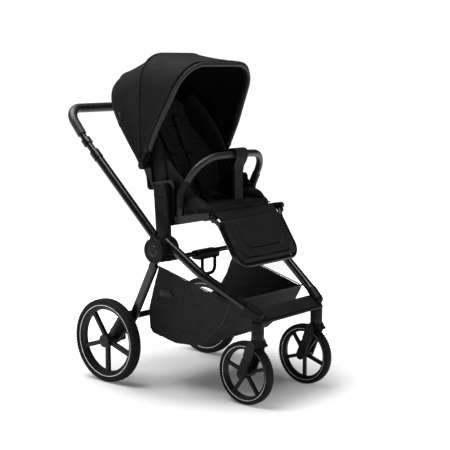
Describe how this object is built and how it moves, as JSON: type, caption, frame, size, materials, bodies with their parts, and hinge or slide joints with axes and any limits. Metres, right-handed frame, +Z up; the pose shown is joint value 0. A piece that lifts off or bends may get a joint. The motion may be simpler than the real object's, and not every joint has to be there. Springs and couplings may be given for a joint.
{
  "type": "baby stroller",
  "caption": "Folding baby stroller with telescopic push handle, seat unit with bumper bar and leg rest, hinged canopy, basket and swivel castors.",
  "frame": {"origin": "centre of the footprint, on the ground", "axes": "+Z up, front towards -Y, child's left towards +X"},
  "size_m": [0.576, 0.8738, 1.1663],
  "materials": {
    "gloss_frame": "gloss black anodised and lacquered tube",
    "matte_plastic": "matt black moulded plastic",
    "gloss_plastic": "satin-gloss black",
    "grip_rubber": "ribbed soft rubber",
    "leatherette": "black grained leatherette",
    "steel": "brushed steel",
    "rim_plastic": "satin black moulded rim",
    "tyre": "black foam-filled rubber",
    "canopy_fabric": "tight black woven polyester",
    "seat_fabric": "padded black woven fabric",
    "basket_fabric": "black coated polyester",
    "webbing": "black polyester webbing"
  },
  "bodies": {
    "chassis": {"front_tube_left": "gloss_frame", "front_tube_right": "gloss_frame", "hub_housing_left": "matte_plastic", "hub_housing_right": "matte_plastic", "seat_post_left": "matte_plastic", "seat_post_right": "matte_plastic", "castor_sockets": "matte_plastic", "hub_caps": "matte_plastic", "footrest_bar": "matte_plastic", "footrest_grip": "grip_rubber", "fold_bar": "gloss_frame", "fold_housing": "matte_plastic", "basket": "basket_fabric"},
    "fold_loop": {"fold_loop": "matte_plastic"},
    "push_frame": {"push_tube_left": "gloss_frame", "push_tube_right": "gloss_frame", "push_knuckle_left": "matte_plastic", "push_knuckle_right": "matte_plastic"},
    "handle": {"handle_bar": "gloss_frame", "handle_grip": "leatherette"},
    "handle_button_left": {"handle_button_left": "matte_plastic"},
    "handle_button_right": {"handle_button_right": "matte_plastic"},
    "rear_legs": {"rear_leg_left": "gloss_frame", "rear_leg_right": "gloss_frame", "axle_bracket_left": "matte_plastic", "axle_bracket_right": "matte_plastic", "rear_crossbar": "gloss_frame", "rear_axles": "steel"},
    "brake": {"brake_pedal": "matte_plastic"},
    "rear_wheel_left": {"rear_tyre_left": "tyre", "rear_rim_left": "rim_plastic"},
    "rear_wheel_right": {"rear_tyre_right": "tyre", "rear_rim_right": "rim_plastic"},
    "castor_left": {"castor_fork_left": "gloss_plastic"},
    "castor_right": {"castor_fork_right": "gloss_plastic"},
    "castor_arm_left": {"castor_arm_left": "matte_plastic"},
    "castor_arm_right": {"castor_arm_right": "matte_plastic"},
    "front_wheel_left": {"front_tyre_left": "tyre", "front_rim_left": "rim_plastic"},
    "front_wheel_right": {"front_tyre_right": "tyre", "front_rim_right": "rim_plastic"},
    "seat": {"seat_adapters": "matte_plastic", "seat_frame": "gloss_frame", "seat_pad": "seat_fabric", "crotch_strap": "webbing", "buckle": "matte_plastic"},
    "buckle_button": {"buckle_button": "matte_plastic"},
    "backrest": {"backrest_frame": "gloss_frame", "backrest_pad": "seat_fabric", "harness_straps": "webbing", "canopy_rear_panel": "canopy_fabric"},
    "recline_lever": {"recline_lever": "matte_plastic"},
    "canopy_mid": {"canopy_mid_bow": "gloss_frame", "canopy_mid_panel": "canopy_fabric"},
    "canopy_front": {"canopy_front_bow": "gloss_frame", "canopy_front_panel": "canopy_fabric"},
    "bumper": {"bumper_bar": "leatherette", "bumper_strap": "leatherette"},
    "legrest": {"legrest_frame": "gloss_frame", "legrest_pad": "seat_fabric"}
  },
  "joints": [
    {"name": "chassis_fold", "type": "hinge", "parent": "chassis", "child": "push_frame", "pos_m": [0, -0.021, 0.5], "axis": [-1, 0, 0], "range_deg": [0, 120]},
    {"name": "rear_leg_fold", "type": "hinge", "parent": "chassis", "child": "rear_legs", "pos_m": [0, -0.021, 0.5], "axis": [-1, 0, 0], "range_deg": [0, 60], "deforming": ["basket"]},
    {"name": "handle_slide", "type": "slide", "parent": "push_frame", "child": "handle", "axis": [0, 0.729, 0.6845], "range_m": [-0.03, 0.08]},
    {"name": "handle_button_left_press", "type": "slide", "parent": "handle", "child": "handle_button_left", "axis": [1, 0, 0], "range_m": [0, 0.003], "stiffness_N_per_m": 400, "springref_m": -0.001},
    {"name": "handle_button_right_press", "type": "slide", "parent": "handle", "child": "handle_button_right", "axis": [-1, 0, 0], "range_m": [0, 0.003], "stiffness_N_per_m": 400, "springref_m": -0.001},
    {"name": "rear_wheel_left_spin", "type": "hinge", "parent": "rear_legs", "child": "rear_wheel_left", "pos_m": [0.266, 0.223, 0.15], "axis": [1, 0, 0], "continuous": true},
    {"name": "rear_wheel_right_spin", "type": "hinge", "parent": "rear_legs", "child": "rear_wheel_right", "pos_m": [-0.266, 0.223, 0.15], "axis": [1, 0, 0], "continuous": true},
    {"name": "brake_press", "type": "hinge", "parent": "rear_legs", "child": "brake", "pos_m": [-0.2, 0.223, 0.15], "axis": [-1, 0, 0], "range_deg": [0, 18]},
    {"name": "castor_left_swivel", "type": "hinge", "parent": "chassis", "child": "castor_left", "pos_m": [0.165, -0.378, 0.26], "axis": [0, 0, 1], "continuous": true},
    {"name": "castor_right_swivel", "type": "hinge", "parent": "chassis", "child": "castor_right", "pos_m": [-0.165, -0.378, 0.26], "axis": [0, 0, 1], "continuous": true},
    {"name": "castor_left_suspension", "type": "hinge", "parent": "castor_left", "child": "castor_arm_left", "pos_m": [0.165, -0.357, 0.172], "axis": [1, 0, 0], "range_deg": [0, 7], "stiffness_Nm_per_rad": 30, "springref_deg": -6.88},
    {"name": "castor_right_suspension", "type": "hinge", "parent": "castor_right", "child": "castor_arm_right", "pos_m": [-0.165, -0.357, 0.172], "axis": [1, 0, 0], "range_deg": [0, 7], "stiffness_Nm_per_rad": 30, "springref_deg": -6.88},
    {"name": "front_wheel_left_spin", "type": "hinge", "parent": "castor_arm_left", "child": "front_wheel_left", "pos_m": [0.165, -0.33, 0.108], "axis": [1, 0, 0], "continuous": true},
    {"name": "front_wheel_right_spin", "type": "hinge", "parent": "castor_arm_right", "child": "front_wheel_right", "pos_m": [-0.165, -0.33, 0.108], "axis": [1, 0, 0], "continuous": true},
    {"name": "fold_loop_pull", "type": "slide", "parent": "chassis", "child": "fold_loop", "axis": [0, 0, 1], "range_m": [0, 0.008]},
    {"name": "seat_lift", "type": "slide", "parent": "chassis", "child": "seat", "axis": [0, 0, 1], "range_m": [0, 0.12]},
    {"name": "buckle_button_press", "type": "slide", "parent": "seat", "child": "buckle_button", "axis": [0, 0.788, -0.6157], "range_m": [0, 0.0012], "stiffness_N_per_m": 300, "springref_m": -0.001},
    {"name": "recline", "type": "hinge", "parent": "seat", "child": "backrest", "pos_m": [0, -0.024, 0.716], "axis": [-1, 0, 0], "range_deg": [0, 28]},
    {"name": "recline_lever_pull", "type": "slide", "parent": "backrest", "child": "recline_lever", "axis": [0, 0.4695, 0.8829], "range_m": [0, 0.006]},
    {"name": "canopy_mid_fold", "type": "hinge", "parent": "backrest", "child": "canopy_mid", "pos_m": [0, 0.092, 0.778], "axis": [-1, 0, 0], "range_deg": [0, 20]},
    {"name": "canopy_front_fold", "type": "hinge", "parent": "canopy_mid", "child": "canopy_front", "pos_m": [0, 0.092, 0.778], "axis": [-1, 0, 0], "range_deg": [0, 24]},
    {"name": "bumper_lift", "type": "slide", "parent": "seat", "child": "bumper", "axis": [0, 0, 1], "range_m": [0, 0.04]},
    {"name": "legrest_raise", "type": "hinge", "parent": "seat", "child": "legrest", "pos_m": [0, -0.195, 0.6245], "axis": [-1, 0, 0], "range_deg": [0, 60]}
  ],
  "couplings": [
    {"joint": "rear_leg_fold", "follows": "chassis_fold", "ratio": 0.5}
  ]
}
